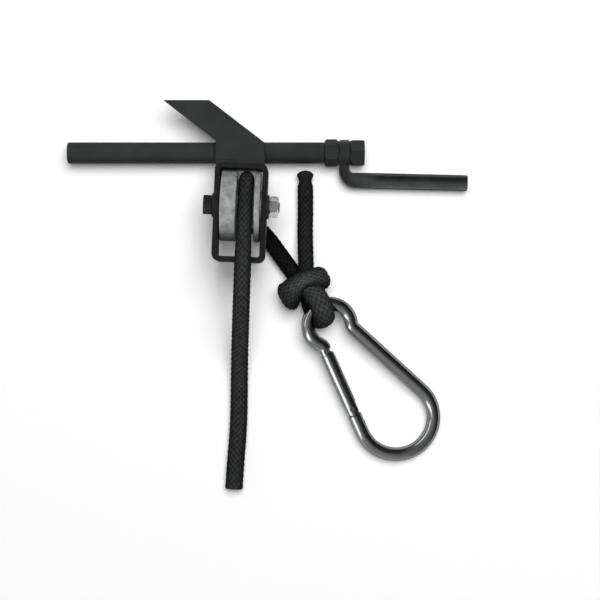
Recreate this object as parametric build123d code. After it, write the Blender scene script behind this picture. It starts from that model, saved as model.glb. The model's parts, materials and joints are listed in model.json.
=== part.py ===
from build123d import *
from math import asin, cos, degrees, pi, radians, sin, sqrt, tan
import os

# Tree stand hoist, lying on its back on a table. Lengths are millimetres, angles degrees.
# The origin is the centre of the arm's open end. +X runs along the arm, +Y points from the hook
# towards the brace, +Z points up from the table.

# Fits
fixed_gap = 0.03  # radial gap of pieces that are pressed or screwed together
running_gap = 0.05  # radial gap of pieces that turn on each other
end_play = 0.2  # free space on each side of a turning piece
rope_gap = 0.3  # free space between the rope and what it passes

# Arm
arm_d = 12.7
arm_bore_d = 8.4
arm_length = 154.0
arm_edge = 0.5
stud_d = 9.5
stud_depth = 24.0
stud_recess = 0.6  # the stud ends this far inside the lock nut

# Swivel at the arm's right end
nut_flats = 14.3
nut_bevel = 1.1
stop_nut_length = 8.0
lock_nut_length = 8.3
lock_nut_turn = 27.0
swivel_washer_d = 14.4
swivel_washer_t = 0.8
eye_d = 15.9
eye_length = 5.6
rod_d = 9.5
rod_offset = 16.4
rod_bend_r = 6.6
rod_droop = 1.38
rod_reach = 74.0
rod_edge = 0.3

# Brace plate
plate_t = 6.35
plate_edge = 0.6
plate_left = 89.1
plate_width = 29.2
plate_shoulder = 5.1
brace_slope = 37.5
brace_width = 27.1
brace_top = 30.35
weld_start = 1.5  # the welds beside the arm begin this far from its line of contact
weld_reach = 5.0
weld_inset = 1.0
weld_leg = 3.2

# Pulley bracket
strap_t = 3.175
strap_width = 25.4
bracket_width = 30.9
bracket_height = 57.7
bracket_x = 105.4
bracket_drop = 8.5
bracket_lean = 2.3
strap_bend_r = 1.4
strap_edge = 0.5

# Rope and sheave
rope_d = 9.0
groove_r = 11.2
groove_width = 10.4
groove_fillet = 4.0
sheave_r = 21.0
rim_round = 0.8
rim_gap = 0.4  # free space between the sheave's rim and the bracket's top
rim_land = 3.3  # width of the rim on the groove's right
haul_angle = 5.5  # the haul line leaves the sheave this far above its front
wrap_angle = 140.0  # the lift line leaves the sheave this far round from its front
haul_lead = 21.5  # the haul line runs straight this far off the sheave
tail_bulb_d = 9.9
bend_share = 0.45  # each bend of a free run takes up this share of the shorter run beside it

# Axle
bolt_d = 6.35
bolt_flats = 11.1
bolt_head_t = 5.3
bolt_head_turn = 30.0
bolt_bevel = 0.9
axle_nut_t = 5.6
axle_washer_d = 14.0
axle_washer_t = 1.2
bolt_stick_out = 0.6
sleeve_d = 9.5
bush_d = 13.0
thrust_washer_d = 18.0
thrust_washer_t = 0.6

# Knot and loop
knot_x = 141.3
knot_y = -80.1
knot_band_width = 14.4
knot_band_t = 11.2
knot_turn_r = 6.0
knot_straight = 12.0
knot_core_d = 12.4
knot_core_length = 16.0
knot_to_hook = 14.95  # from the knot's middle to the wire that the loop holds
loop_side = -0.9
loop_pinch = 20.0
loop_strand = 10.0
loop_width = 12.0

# Hook
hook_heading = -54.03
wire_d = 8.0
hook_eye_r = 12.9
hook_waist = 8.45  # from the eye's middle to the line of each leg
hook_bow_r = 22.4
hook_span = 68.9
hook_kink_r = 6.0
gate_d = 8.0
nose_length = 3.4  # straight end of the wire that the gate closes on
gate_pivot_to_bow = 16.0
gate_pin_d = 3.0
gate_gap = 0.4
tongue_width = 6.4
tongue_t = 3.2
catch_t = 2.8
catch_width = 5.0
catch_length = 3.8
catch_pin_d = 2.2
catch_pin_length = 6.6
catch_gap = 0.3
spring_d = 4.4
spring_wall = 0.6
spring_length = 16.0
plunger_length = 4.0

# Places that follow from the sizes
nut_corner_r = nut_flats / 2 / cos(pi / 6)
table_z = -max(arm_d / 2, eye_d / 2, nut_corner_r)
stop_nut_x = arm_length
left_washer_x = stop_nut_x + stop_nut_length
eye_x = left_washer_x + swivel_washer_t + end_play
eye_mid = eye_x + eye_length / 2
right_washer_x = eye_x + eye_length + end_play
lock_nut_x = right_washer_x + swivel_washer_t
lock_nut_end = lock_nut_x + lock_nut_length
rod_tip_x = eye_mid + rod_reach
rod_tip_offset = rod_offset + rod_reach * tan(radians(rod_droop))
rod_rest = degrees(asin((-table_z - rod_d / 2) / rod_tip_offset))

rope_r = rope_d / 2
rope_on_table = table_z + rope_r
wrap_r = groove_r + rope_gap + rope_r
axle_z = table_z + rope_d + rope_gap + sheave_r
axle_drop = strap_t + rim_gap + sheave_r
bracket_place = Pos(bracket_x, -bracket_drop, axle_z) * Rot(0, 0, -bracket_lean)
axle_place = bracket_place * Pos(0, -axle_drop, 0)
wall_in = bracket_width / 2 - strap_t
sheave_width = 2 * (wall_in - thrust_washer_t - end_play)
rope_shift = sheave_width / 2 - rim_land - groove_width / 2

knot_z = table_z + knot_turn_r + knot_band_t / 2
knot_place = Pos(knot_x, knot_y, knot_z) * Rot(0, 0, hook_heading)
loop_r = wire_d / 2 + rope_gap + rope_r
loop_z = table_z + rope_r + loop_r
loop_xy = Pos(knot_x, knot_y, loop_z) * Rot(0, 0, hook_heading)
loop_place = loop_xy * Pos(knot_to_hook, loop_side, 0)
hook_length = hook_eye_r + hook_span + hook_bow_r
hook_tilt = degrees(asin((loop_z - table_z - wire_d / 2) / hook_length))
hook_place = loop_place * Rot(0, hook_tilt, 0)


def round_bar(diameter, start, end):
    """A round bar along X between two stations."""
    return extrude(Plane.YZ.offset(start) * Circle(diameter / 2), end - start)


def ring(outer_d, inner_d, start, end):
    """A washer or sleeve along X between two stations."""
    return round_bar(outer_d, start, end) - round_bar(inner_d, start, end)


def bevelled(solid, diameter, size):
    """The solid with each outer circle of that diameter bevelled."""
    rims = [e for e in solid.edges().filter_by(GeomType.CIRCLE) if abs(2 * e.radius - diameter) < 1e-4]
    return chamfer(rims, size)


def hexagon(flats, start, length, bevel, turn=0.0):
    """A six sided bar along X with the corners of both ends turned off."""
    corners_d = flats / cos(pi / 6)
    blank = extrude(Plane.YZ.offset(start) * RegularPolygon(corners_d / 2, 6, rotation=turn), length)
    return blank & bevelled(round_bar(corners_d, start, start + length), corners_d, bevel)


def on_axle(along, up, out):
    """A point given from the axle's middle: along the axle, up the bracket and out from the table."""
    return tuple((axle_place * Pos(along, up, out)).position)


def round_sheave(angle, run=0.0):
    """A point of the rope's middle line: an angle round the sheave from its front, then a straight run."""
    turn = radians(angle)
    up = wrap_r * sin(turn) + run * cos(turn)
    out = wrap_r * cos(turn) - run * sin(turn)
    return on_axle(rope_shift, up, out)


def rope_run(name, points):
    """A round rope through chosen points, each corner rounded as far as its two runs allow."""
    stops = [Vector(p) for p in points]
    runs = [b - a for a, b in zip(stops, stops[1:])]
    radii = []
    for before, after in zip(runs, runs[1:]):
        half_turn = radians(before.get_angle(after)) / 2
        radii.append(bend_share * min(before.length, after.length) / tan(half_turn))
    path = FilletPolyline(*stops, radius=radii)
    run = sweep(Plane(path @ 0, z_dir=path % 0) * Circle(rope_r), path=path)
    share = run.volume / (pi * rope_r**2 * path.length)
    print(name, "length", round(path.length, 1), "volume share", round(share, 4))
    print(name, "radii", [round(r, 1) for r in radii])
    return run


def make_arm_tube():
    """The arm: a tube with a wider seat for the stud in its right end."""
    seat_x = arm_length - stud_depth
    tube = bevelled(round_bar(arm_d, 0, arm_length), arm_d, arm_edge)
    tube -= round_bar(arm_bore_d, 0, seat_x)
    return tube - round_bar(stud_d + 2 * fixed_gap, seat_x, arm_length)


def make_swivel_stud():
    """The stud that carries the nuts and the side arm's eye."""
    stud = round_bar(stud_d, arm_length - stud_depth, lock_nut_end - stud_recess)
    return bevelled(stud, stud_d, arm_edge)


def make_swivel_nut(start, length, turn):
    """One of the two nuts beside the eye."""
    nut = hexagon(nut_flats, start, length, nut_bevel, turn)
    return nut - round_bar(stud_d + 2 * fixed_gap, start, start + length)


def make_swivel_washers():
    """The thin washers on both sides of the eye."""
    hole_d = stud_d + 2 * fixed_gap
    return [
        ring(swivel_washer_d, hole_d, start, start + swivel_washer_t)
        for start in (left_washer_x, right_washer_x)
    ]


def make_side_arm():
    """The side arm: an eye, a neck that swells round its bend, and a peg whose tip rests on the table."""
    neck_start = (eye_d + stud_d) / 4
    path = FilletPolyline(
        (eye_mid, -neck_start, 0),
        (eye_mid, -rod_offset, 0),
        (rod_tip_x, -rod_tip_offset, 0),
        radius=rod_bend_r,
    )
    neck_line = Wire(path.edges()[:2])
    peg_line = path.edges()[2]
    flat_end = Plane(neck_line @ 0, x_dir=(0, 0, 1), z_dir=neck_line % 0) * Ellipse(rod_d / 2, eye_length / 2)
    round_end = Plane(neck_line @ 1, x_dir=(0, 0, 1), z_dir=neck_line % 1) * Circle(rod_d / 2)
    neck = sweep([flat_end, round_end], path=neck_line, multisection=True)
    peg = sweep(round_end, path=peg_line)
    tip = peg.faces().sort_by(Axis.X)[-1]
    peg = chamfer(tip.edges(), rod_edge)
    eye = ring(eye_d, stud_d + 2 * running_gap, eye_x, eye_x + eye_length)
    return Rot(rod_rest, 0, 0) * (eye + neck + peg)


def make_brace_plate():
    """The brace: a slanted strip whose tab lies across the arm and stands on the bracket."""
    rise = tan(radians(brace_slope))
    lean = tan(radians(bracket_lean))
    right = plate_left + plate_width
    tip_right = right - (brace_top - plate_shoulder) / rise
    tip_left = tip_right - brace_width
    outline = Polyline(
        (plate_left, -bracket_drop + (bracket_x - plate_left) * lean),
        (right, -bracket_drop + (bracket_x - right) * lean),
        (right, plate_shoulder),
        (tip_right, brace_top),
        (tip_left, brace_top),
        (plate_left, brace_top - (plate_left - tip_left) * rise),
        close=True,
    )
    plate = extrude(Plane.XY.offset(arm_d / 2) * make_face(outline), plate_t)
    free_edges = plate.edges().filter_by(Axis.Z, reverse=True).sort_by(Axis.Y)[2:]
    return fillet(free_edges, plate_edge)


def make_pulley_bracket():
    """The bracket: a closed loop of bent strap with a hole for the axle in each wall."""
    outer = RectangleRounded(bracket_width, bracket_height, strap_bend_r + strap_t)
    inner = RectangleRounded(2 * wall_in, bracket_height - 2 * strap_t, strap_bend_r)
    loop = Pos(0, -bracket_height / 2, 0) * extrude(outer - inner, strap_width / 2, both=True)
    loop = fillet(loop.edges().filter_by(Axis.Z, reverse=True), strap_edge)
    hole = round_bar(bolt_d + 2 * fixed_gap, -bracket_width, bracket_width)
    return bracket_place * (loop - Pos(0, -axle_drop, 0) * hole)


def make_weld_beads():
    """The welds: two beside the arm under the plate, and one in each corner of plate and bracket."""
    start = plate_left + weld_inset
    end = plate_left + plate_width - weld_inset
    arm = round_bar(arm_d, start, end)
    depth = arm_d / 2 - sqrt((arm_d / 2) ** 2 - weld_reach**2)
    beads = []
    for side in (-1, 1):
        block = Box(end - start, weld_reach - weld_start, depth)
        middle = Pos((start + end) / 2, side * (weld_start + weld_reach) / 2, (arm_d - depth) / 2)
        beads.append(middle * block - arm)
    front = arm_d / 2 + plate_t - axle_z
    back = -strap_width / 2
    edge_left = back + axle_z - arm_d / 2
    for level, leg in ((front, weld_leg), (back, -edge_left)):
        bead = make_face(Plane.YZ * Polyline((0, level), (leg, level), (0, level + leg), close=True))
        left = start - bracket_x
        beads.append(bracket_place * Pos(left, 0, 0) * extrude(bead, end - start, dir=(1, 0, 0)))
    return beads


def make_sheave():
    """The sheave: a wide drum with one deep groove, nearer to its right side."""
    half = sheave_width / 2
    groove_left = rope_shift - groove_width / 2
    groove_right = rope_shift + groove_width / 2
    bore_r = bush_d / 2 + fixed_gap
    section = make_face(
        Polyline(
            (-half, bore_r),
            (-half, sheave_r),
            (groove_left, sheave_r),
            (groove_left, groove_r),
            (groove_right, groove_r),
            (groove_right, sheave_r),
            (half, sheave_r),
            (half, bore_r),
            close=True,
        )
    )
    section = fillet([v for v in section.vertices() if abs(v.Y - groove_r) < 1e-6], groove_fillet)
    section = fillet([v for v in section.vertices() if abs(v.Y - sheave_r) < 1e-6], rim_round)
    return axle_place * revolve(section, Axis.X)


def make_sheave_bush():
    """The bush in the sheave, which turns on the axle's sleeve."""
    half = sheave_width / 2
    return axle_place * ring(bush_d, sleeve_d + 2 * running_gap, -half, half)


def make_axle_sleeve():
    """The sleeve that the bolt clamps between the bracket's walls."""
    return axle_place * ring(sleeve_d, bolt_d + 2 * fixed_gap, -wall_in, wall_in)


def make_thrust_washers():
    """The thin washers between the sheave and the bracket's walls."""
    hole_d = sleeve_d + 2 * running_gap
    starts = (-wall_in, wall_in - thrust_washer_t)
    return [axle_place * ring(thrust_washer_d, hole_d, x, x + thrust_washer_t) for x in starts]


def make_axle_washers():
    """The washers under the bolt's head and under the nut."""
    hole_d = bolt_d + 2 * fixed_gap
    starts = (-bracket_width / 2 - axle_washer_t, bracket_width / 2)
    return [axle_place * ring(axle_washer_d, hole_d, x, x + axle_washer_t) for x in starts]


def make_axle_bolt():
    """The bolt through the bracket, with its head on the left."""
    seat = bracket_width / 2 + axle_washer_t
    head = hexagon(bolt_flats, -seat - bolt_head_t, bolt_head_t, bolt_bevel, bolt_head_turn)
    shank = bevelled(round_bar(bolt_d, -seat, seat + axle_nut_t + bolt_stick_out), bolt_d, arm_edge)
    return axle_place * (head + shank)


def make_axle_nut():
    """The nut on the bolt's right end."""
    seat = bracket_width / 2 + axle_washer_t
    nut = hexagon(bolt_flats, seat, axle_nut_t, bolt_bevel)
    return axle_place * (nut - round_bar(bolt_d + 2 * fixed_gap, seat, seat + axle_nut_t))


def make_rope_over_sheave():
    """The stretch of rope that lies in the groove, from the sheave's front over its top."""
    middle_angle = (haul_angle + wrap_angle) / 2
    arc = ThreePointArc(*(round_sheave(a) for a in (haul_angle, middle_angle, wrap_angle)))
    return sweep(Plane(arc @ 0, z_dir=arc % 0) * Circle(rope_r), path=arc)


def make_haul_rope():
    """The haul line: off the sheave's front, over the bracket, down to the table and along it."""
    points = [
        round_sheave(haul_angle),
        round_sheave(haul_angle, -haul_lead),
        (105.8, -76.5, 39.4),
        (104.8, -94.8, 28.5),
        (103.6, -112.7, 10.8),
        (102.8, -131.0, -1.2),
        (102.6, -150.2, rope_on_table),
        (102.0, -168.3, rope_on_table),
        (100.4, -185.9, rope_on_table),
        (99.4, -202.0, rope_on_table),
    ]
    return rope_run("haul_rope", points)


def make_lift_rope():
    """The lift line: off the sheave's back, under the bracket's right wall and into the knot."""
    fall = axle_z + wrap_r * cos(radians(wrap_angle)) - rope_on_table
    points = [
        round_sheave(wrap_angle),
        round_sheave(wrap_angle, fall / sin(radians(wrap_angle))),
        (119.4, -49.9, rope_on_table),
        (130.3, -65.4, rope_on_table),
        (137.0, -74.4, -1.5),
    ]
    return rope_run("lift_rope", points)


def make_rope_tail():
    """The short end of the rope behind the knot, with its melted bulb."""
    end_z = table_z + tail_bulb_d / 2
    points = [
        (142.9, -74.0, 5.8),
        (142.6, -62.0, 0.0),
        (142.2, -46.0, rope_on_table),
        (142.6, -30.0, rope_on_table),
        (142.3, -14.2, end_z),
    ]
    return rope_run("rope_tail", points) + Pos(*points[-1]) * Sphere(tail_bulb_d / 2)


def make_rope_knot():
    """The knot: one fat turn of rope round the strands that run through it."""
    side = knot_straight / 2
    turn = knot_turn_r
    band_line = Wire(
        [
            Line((0, -side, turn), (0, side, turn)),
            ThreePointArc((0, side, turn), (0, side + turn, 0), (0, side, -turn)),
            Line((0, side, -turn), (0, -side, -turn)),
            ThreePointArc((0, -side, -turn), (0, -side - turn, 0), (0, -side, turn)),
        ]
    )
    start = Plane((0, -side, turn), x_dir=(1, 0, 0), z_dir=(0, 1, 0))
    band = sweep(start * Ellipse(knot_band_width / 2, knot_band_t / 2), path=band_line)
    core = round_bar(knot_core_d, -knot_core_length / 2, knot_core_length / 2)
    return knot_place * (band + core)


def make_hook_loop():
    """The loop of rope round the hook's wire, drawn together where it enters the knot."""
    pinch = radians(loop_pinch)
    over = Vector(-loop_r * sin(pinch), 0, loop_r * cos(pinch))
    under = Vector(over.X, 0, -over.Z)
    lead = Vector(-loop_strand * cos(pinch), 0, -loop_strand * sin(pinch))
    end = over + lead
    line = Wire(
        [
            Line(end, over),
            ThreePointArc(over, (loop_r, 0, 0), under),
            Line(under, (end.X, 0, -end.Z)),
        ]
    )
    start = Plane(end, x_dir=(0, 1, 0), z_dir=-lead)
    return loop_place * sweep(start * Ellipse(loop_width / 2, rope_r), path=line)


# The hook's own axes: X from the wire in the loop to the bow, Y towards the back leg
leg_angle = asin((hook_bow_r - hook_waist) / hook_span)
kink_station = sqrt((hook_eye_r + hook_kink_r) ** 2 - (hook_waist + hook_kink_r) ** 2)
bow_station = hook_span * cos(leg_angle)
pivot_station = bow_station - gate_pivot_to_bow
gate_length = pivot_station - kink_station - nose_length - gate_gap
back, front = 1, -1


def on_leg(side, station, out=0.0):
    """A point beside a leg's line, at a station from the eye's middle and some way outwards."""
    along = Vector(cos(leg_angle), side * sin(leg_angle), 0)
    outward = Vector(-sin(leg_angle), side * cos(leg_angle), 0)
    return Vector(hook_eye_r, 0, 0) + along * station + outward * (hook_waist + out)


def kink_points(side):
    """Where the reverse bend meets the eye, its middle, and where it meets the leg."""
    eye_middle = Vector(hook_eye_r, 0, 0)
    centre = on_leg(side, kink_station, hook_kink_r)
    eye_end = eye_middle + (centre - eye_middle).normalized() * hook_eye_r
    leg_end = on_leg(side, kink_station)
    middle = centre + ((eye_end + leg_end) / 2 - centre).normalized() * hook_kink_r
    return eye_end, middle, leg_end


gate_local = Pos(*on_leg(front, pivot_station)) * Rot(0, 0, -degrees(leg_angle))
gate_place = hook_place * gate_local
shoulder_x = gate_d / 2 + gate_gap
nose_x = -gate_length - gate_gap
catch_pin_x = -gate_length - catch_length / 2 - gate_gap


def make_hook_body():
    """The hook's wire: nose, eye, back leg and bow, with the tongue that carries the gate."""
    nose_end = on_leg(front, pivot_station + nose_x)
    front_kink = kink_points(front)
    back_kink = kink_points(back)
    bow_far = Vector(hook_length, 0, 0)
    line = Wire(
        [
            Line(nose_end, front_kink[2]),
            ThreePointArc(front_kink[2], front_kink[1], front_kink[0]),
            ThreePointArc(front_kink[0], (0, 0, 0), back_kink[0]),
            ThreePointArc(*back_kink),
            Line(back_kink[2], on_leg(back, bow_station)),
            ThreePointArc(on_leg(back, bow_station), bow_far, on_leg(front, bow_station)),
            Line(on_leg(front, bow_station), on_leg(front, pivot_station + shoulder_x)),
        ]
    )
    wire = sweep(Plane(nose_end, z_dir=front_kink[2] - nose_end) * Circle(wire_d / 2), path=line)
    root = shoulder_x + tongue_width / 2
    tongue = Pos(root / 2, 0, 0) * Box(root, tongue_width, tongue_t) + Cylinder(tongue_width / 2, tongue_t)
    tongue -= Cylinder(gate_pin_d / 2 + fixed_gap, wire_d)
    slot_depth = catch_length + gate_gap + catch_gap
    slot = Pos(nose_x - slot_depth / 2, 0, 0) * Box(slot_depth, 2 * wire_d, catch_t + 2 * catch_gap)
    notch_y = catch_pin_d / 2 + catch_gap
    notch = Box(catch_pin_d + 2 * catch_gap, wire_d + notch_y, 2 * wire_d)
    notch = Pos(catch_pin_x, (wire_d - notch_y) / 2, 0) * notch
    return hook_place * (wire + gate_local * tongue - gate_local * (slot + notch))


def make_hook_gate():
    """The gate: a round bar, forked over the tongue, hollow for its spring, with a flat catch."""
    bar = round_bar(gate_d, -gate_length, gate_d / 2)
    reach = Pos(-gate_length / 2, 0, 0) * Box(gate_length, gate_d, gate_d) + Cylinder(gate_d / 2, gate_d)
    fork_depth = tongue_width / 2 + gate_gap
    fork = Box(fork_depth + gate_d, gate_d, tongue_t + 2 * catch_gap)
    fork = Pos((gate_d - fork_depth) / 2, 0, 0) * fork
    bore_end = -fork_depth - plunger_length - spring_length
    bore = round_bar(spring_d + 2 * running_gap, bore_end, -fork_depth)
    pin_hole = Cylinder(gate_pin_d / 2 + running_gap, 2 * gate_d)
    gate = (bar & reach) - fork - bore - pin_hole
    catch_root = catch_width / 2
    catch = Pos((catch_root - catch_length) / 2 - gate_length, 0, 0)
    gate += catch * Box(catch_length + catch_root, catch_width, catch_t)
    gate -= Pos(catch_pin_x, 0, 0) * Cylinder(catch_pin_d / 2 + fixed_gap, gate_d)
    return gate_place * gate


def make_gate_pin():
    """The rivet on which the gate turns."""
    return gate_place * Cylinder(gate_pin_d / 2, gate_d)


def make_catch_pin():
    """The cross pin of the gate's catch, which sits in the nose's notch."""
    return gate_place * Pos(catch_pin_x, 0, 0) * Cylinder(catch_pin_d / 2, catch_pin_length)


def make_gate_plunger():
    """The plunger that bears on the tongue's round end."""
    face = -tongue_width / 2 - gate_gap
    return gate_place * round_bar(spring_d - 2 * running_gap, face - plunger_length, face)


def make_gate_spring():
    """The spring behind the plunger, as a plain sleeve of its outer size."""
    end = -tongue_width / 2 - gate_gap - plunger_length
    return gate_place * ring(spring_d, spring_d - 2 * spring_wall, end - spring_length, end)


knot = make_rope_knot()
nodes = {
    "arm_tube": make_arm_tube(),
    "swivel_stud": make_swivel_stud(),
    "stop_nut": make_swivel_nut(stop_nut_x, stop_nut_length, 0.0),
    "swivel_washers": make_swivel_washers(),
    "side_arm": make_side_arm(),
    "lock_nut": make_swivel_nut(lock_nut_x, lock_nut_length, lock_nut_turn),
    "brace_plate": make_brace_plate(),
    "pulley_bracket": make_pulley_bracket(),
    "weld_beads": make_weld_beads(),
    "sheave": make_sheave(),
    "sheave_bush": make_sheave_bush(),
    "axle_sleeve": make_axle_sleeve(),
    "thrust_washers": make_thrust_washers(),
    "axle_washers": make_axle_washers(),
    "axle_bolt": make_axle_bolt(),
    "axle_nut": make_axle_nut(),
    "haul_rope": make_haul_rope(),
    "rope_over_sheave": make_rope_over_sheave(),
    "lift_rope": make_lift_rope() - knot,
    "rope_knot": knot,
    "rope_tail": make_rope_tail() - knot,
    "hook_loop": make_hook_loop() - knot,
    "hook_body": make_hook_body(),
    "hook_gate": make_hook_gate(),
    "gate_pin": make_gate_pin(),
    "catch_pin": make_catch_pin(),
    "gate_plunger": make_gate_plunger(),
    "gate_spring": make_gate_spring(),
}

os.makedirs("parts", exist_ok=True)
for name, shape in nodes.items():
    pieces = shape if isinstance(shape, list) else [shape]
    solids = [solid for piece in pieces for solid in piece.solids()]
    export_step(solids[0] if len(solids) == 1 else Compound(solids), f"parts/{name}.step")

print("axle middle", on_axle(0, 0, 0))
print("hook turns at", tuple(hook_place.position), "tilted by", hook_tilt)
print("gate turns at", tuple(gate_place.position))
print("peg tip", rod_tip_x, "offset", rod_tip_offset, "resting at", rod_rest)
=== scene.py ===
# %% [markdown]
# # A tree stand hoist, dressed
# The hoist lies on a white table: a painted arm with a brace, a sheave in a strap bracket, a braided
# rope that ends in a knotted loop, and a snap hook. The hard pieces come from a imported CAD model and
# stay where they are. This lesson makes what a solid model leaves plain, which is the rope with its
# braid and knot, the weld beads and the gate's coil spring, and then gives every piece its finish.

# %% Load the frame
import json
import math

import bpy
import numpy as np
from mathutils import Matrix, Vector


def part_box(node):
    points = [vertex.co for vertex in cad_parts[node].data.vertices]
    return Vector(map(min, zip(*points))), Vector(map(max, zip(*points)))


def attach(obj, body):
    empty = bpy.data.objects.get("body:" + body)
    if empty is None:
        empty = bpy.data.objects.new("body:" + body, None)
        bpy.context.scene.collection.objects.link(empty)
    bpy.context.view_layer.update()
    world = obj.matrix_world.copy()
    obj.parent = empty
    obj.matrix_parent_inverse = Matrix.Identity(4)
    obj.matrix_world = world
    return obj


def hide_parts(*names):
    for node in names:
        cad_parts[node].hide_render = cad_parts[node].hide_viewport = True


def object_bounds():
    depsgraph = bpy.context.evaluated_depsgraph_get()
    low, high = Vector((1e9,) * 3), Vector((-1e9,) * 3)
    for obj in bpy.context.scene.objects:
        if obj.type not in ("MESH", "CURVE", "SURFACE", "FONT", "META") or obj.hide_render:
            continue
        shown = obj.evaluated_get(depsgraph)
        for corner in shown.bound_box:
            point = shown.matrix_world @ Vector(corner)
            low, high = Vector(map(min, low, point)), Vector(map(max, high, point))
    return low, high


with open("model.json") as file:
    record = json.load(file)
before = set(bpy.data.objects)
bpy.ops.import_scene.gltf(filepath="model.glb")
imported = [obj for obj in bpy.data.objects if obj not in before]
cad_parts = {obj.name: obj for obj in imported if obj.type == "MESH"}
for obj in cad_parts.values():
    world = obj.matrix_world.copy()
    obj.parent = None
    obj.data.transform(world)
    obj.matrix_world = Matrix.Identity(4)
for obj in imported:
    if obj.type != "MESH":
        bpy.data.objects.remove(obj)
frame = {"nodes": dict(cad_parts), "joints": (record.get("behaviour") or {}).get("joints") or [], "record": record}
cad_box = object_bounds()
nodes = frame["nodes"]
joints = {joint["name"]: joint for joint in frame["joints"]}
MM = 0.001
print("nodes", len(nodes), "box", [round(c / MM, 1) for c in (*cad_box[0], *cad_box[1])])

# %% [markdown]
# ## Camera
# The photograph looks straight down from about a metre: the strap's inner faces just show on the
# side away from the middle, which a longer lens would hide. At the height of the arm's axis a pixel
# is 0.6 mm, so 600 pixels are 360 mm, and lens, sensor and height follow from each other.

# %% Camera above the table
PHOTO_PIXELS = 600
PIXEL = 0.6 * MM
ARM_AXIS_PIXEL = (68, 153)
CAMERA_HEIGHT = 1.0
SENSOR_WIDTH_MM = 36.0

photo_middle = PHOTO_PIXELS / 2
camera_data = bpy.data.cameras.new("camera")
camera_data.sensor_width = SENSOR_WIDTH_MM
camera_data.lens = SENSOR_WIDTH_MM * CAMERA_HEIGHT / (PHOTO_PIXELS * PIXEL)
camera = bpy.data.objects.new("camera", camera_data)
camera.location = (
    (photo_middle - ARM_AXIS_PIXEL[0]) * PIXEL,
    (ARM_AXIS_PIXEL[1] - photo_middle) * PIXEL,
    CAMERA_HEIGHT,
)
scene = bpy.context.scene
scene.collection.objects.link(camera)
scene.camera = camera
scene.view_settings.view_transform = "Standard"
print("lens", round(camera_data.lens, 1), "mm, camera at", [round(c, 4) for c in camera.location])

# %% [markdown]
# ## Surfaces from arrays
# Every new piece is a grid of points: rows run along the piece and columns round it. Modelling by
# hand could not lay hundreds of crossings so evenly, so numpy works out whole grids at once. First
# come a grid's faces: the last column joins the first, and each end is closed with a fan of
# triangles, unless the piece is a ring and its last row joins the first.

# %% Faces of a grid


def grid_faces(rows, columns, ring):
    """The four point numbers of each face of a tube.

    Face (r, c) joins columns c and c+1 of rows r and r+1, counted round, so its normal points
    outwards where columns turn left about the row direction. An open tube has no face after its
    last row.
    """
    row, column = np.meshgrid(np.arange(rows if ring else rows - 1), np.arange(columns), indexing="ij")
    after, beside = (row + 1) % rows, (column + 1) % columns
    corners = ((row, column), (row, beside), (after, beside), (after, column))
    return np.stack([r * columns + c for r, c in corners], axis=-1).reshape(-1, 4)


def end_fans(rows, columns):
    """The three point numbers of each triangle that closes an open tube's ends.

    A triangle joins columns c and c+1 of the first or last row to the middle point of that row. The
    two middle points are numbered after the grid's own, and the first end turns the other way round.
    """
    column = np.arange(columns)
    beside = (column + 1) % columns
    last = (rows - 1) * columns
    first_middle = np.full(columns, rows * columns)
    first_fan = np.stack([beside, column, first_middle], axis=1)
    last_fan = np.stack([last + column, last + beside, first_middle + 1], axis=1)
    return np.vstack([first_fan, last_fan])


print("sides of an open tube of 3 rows and 4 columns:", len(grid_faces(3, 4, False)), "faces")

# %% [markdown]
# ## From a grid to an object
# A mesh can carry more than points. Named values on its points will tell the rope's finish how high
# a strand lies and how much wear, painted shade and painted highlight the rope has there, which no
# picture wrapped round it could do so exactly. The object stays at the origin, with the piece's place
# in its mesh, as the CAD nodes do.

# %% Mesh objects with named values


def write_value(mesh, label, value):
    """A named value for each point of the grid. The middle points of the fans take the first one."""
    full = np.full(len(mesh.vertices), value.flat[0], np.float32)
    full[: value.size] = value.ravel()
    mesh.attributes.new(label, "FLOAT", "POINT").data.foreach_set("value", full)


def surface(name, grid, values=None, ring=False):
    """A smooth closed tube from a grid of rows, columns and xyz, as a new object."""
    rows, columns = grid.shape[:2]
    points = grid.reshape(-1, 3)
    faces = grid_faces(rows, columns, ring).tolist()
    if not ring:
        points = np.vstack([points, grid[0].mean(0), grid[-1].mean(0)])
        faces += end_fans(rows, columns).tolist()
    mesh = bpy.data.meshes.new(name)
    mesh.from_pydata(points, [], faces)
    for label, value in (values or {}).items():
        write_value(mesh, label, value)
    mesh.polygons.foreach_set("use_smooth", np.ones(len(mesh.polygons), bool))
    mesh.update()
    piece = bpy.data.objects.new(name, mesh)
    scene.collection.objects.link(piece)
    return piece


print("new objects go into", scene.collection.name)

# %% [markdown]
# ## The rope on the sheave
# The rope lies in the sheave's groove for part of a turn and leaves it on a tangent at both ends.
# Its middle line there is a circle arc about the axle. Axle and direction come from the frame's
# joint, so the rope lies where the CAD model has its groove.

# %% Places round the sheave
ROPE_D = 9.0 * MM
ROPE_R = ROPE_D / 2
WRAP_R = 16.0 * MM  # the rope's middle line on the sheave
ROPE_SHIFT = 2.975 * MM  # the groove lies right of the sheave's middle
HAUL_ANGLE = 5.5  # degrees round from the sheave's front at which the haul line leaves it
WRAP_ANGLE = 140.0  # degrees at which the lift line leaves it

axle = np.array(joints["sheave_spin"]["pos_m"])
axle_dir = np.array(joints["sheave_spin"]["axis"])
up_z = np.array([0.0, 0.0, 1.0])
bracket_up = np.cross(up_z, axle_dir)


def on_sheave(angle, run=0.0):
    """Points of the rope's middle line at an angle round the sheave from its front, then straight on.

    With R the wrap radius they lie R sin(a) + run cos(a) up the bracket and R cos(a) - run sin(a)
    above the axle.
    """
    turn = np.radians(np.atleast_1d(angle))[:, None]
    up = WRAP_R * np.sin(turn) + run * np.cos(turn)
    out = WRAP_R * np.cos(turn) - run * np.sin(turn)
    return axle + ROPE_SHIFT * axle_dir + up * bracket_up + out * up_z


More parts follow.
